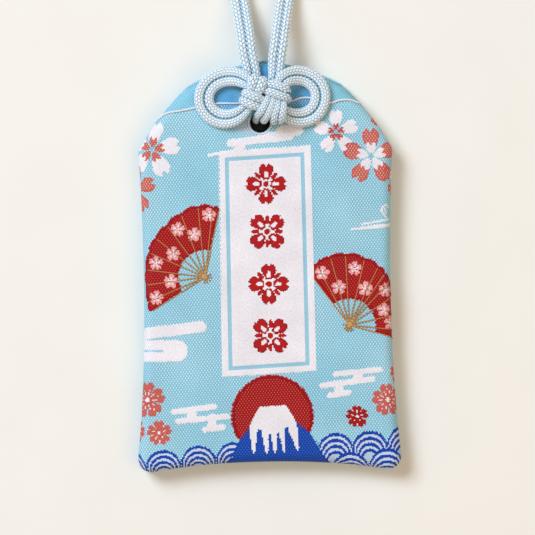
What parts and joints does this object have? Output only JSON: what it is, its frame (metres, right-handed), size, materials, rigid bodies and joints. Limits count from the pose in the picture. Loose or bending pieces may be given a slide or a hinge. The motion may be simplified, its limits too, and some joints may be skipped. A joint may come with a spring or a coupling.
{
  "type": "omamori charm",
  "caption": "Flat brocade charm pouch with a wrapped tablet inside, a two-eared knot of doubled braided cord on its front, and a hanging loop.",
  "frame": {"origin": "middle of the pouch's outline, on the surface that its back lies on", "axes": "+X to the viewer's right across the front, +Y from the foot to the mouth, +Z out of the front"},
  "size_m": [0.05, 0.1462, 0.012],
  "materials": {
    "brocade_front": "sky-blue jacquard brocade with woven motifs",
    "brocade_back": "sky-blue jacquard brocade, plain ground",
    "interlining": "black non-woven interlining",
    "card": "grey-brown board",
    "tablet_wood": "planed cypress",
    "wrap_paper": "white paper",
    "cord": "round braid of white and pale-blue silk-like yarn"
  },
  "bodies": {
    "pouch": {"front_panel": "brocade_front", "back_panel": "brocade_back", "corner_tuck_left": "brocade_back", "corner_tuck_right": "brocade_back", "interlining_front": "interlining", "interlining_back": "interlining", "stiffener_card": "card", "tablet": "tablet_wood", "tablet_wrap": "wrap_paper", "stopper_knot": "cord", "tail_left": "cord", "tail_right": "cord"},
    "knot": {"knot_lead_left": "cord", "knot_lead_right": "cord", "knot_course_first": "cord", "knot_course_second": "cord"},
    "hang_loop": {"hang_loop_outer": "cord", "hang_loop_inner": "cord"}
  },
  "joints": [
    {"name": "knot_lift", "type": "hinge", "parent": "pouch", "child": "knot", "pos_m": [-0.0009, 0.0252, 0.0061], "axis": [1, 0, 0], "range_deg": [0, 35]},
    {"name": "loop_lift", "type": "hinge", "parent": "knot", "child": "hang_loop", "pos_m": [-0.0002, 0.0378, 0.00745], "axis": [1, 0, 0], "range_deg": [0, 90]}
  ]
}
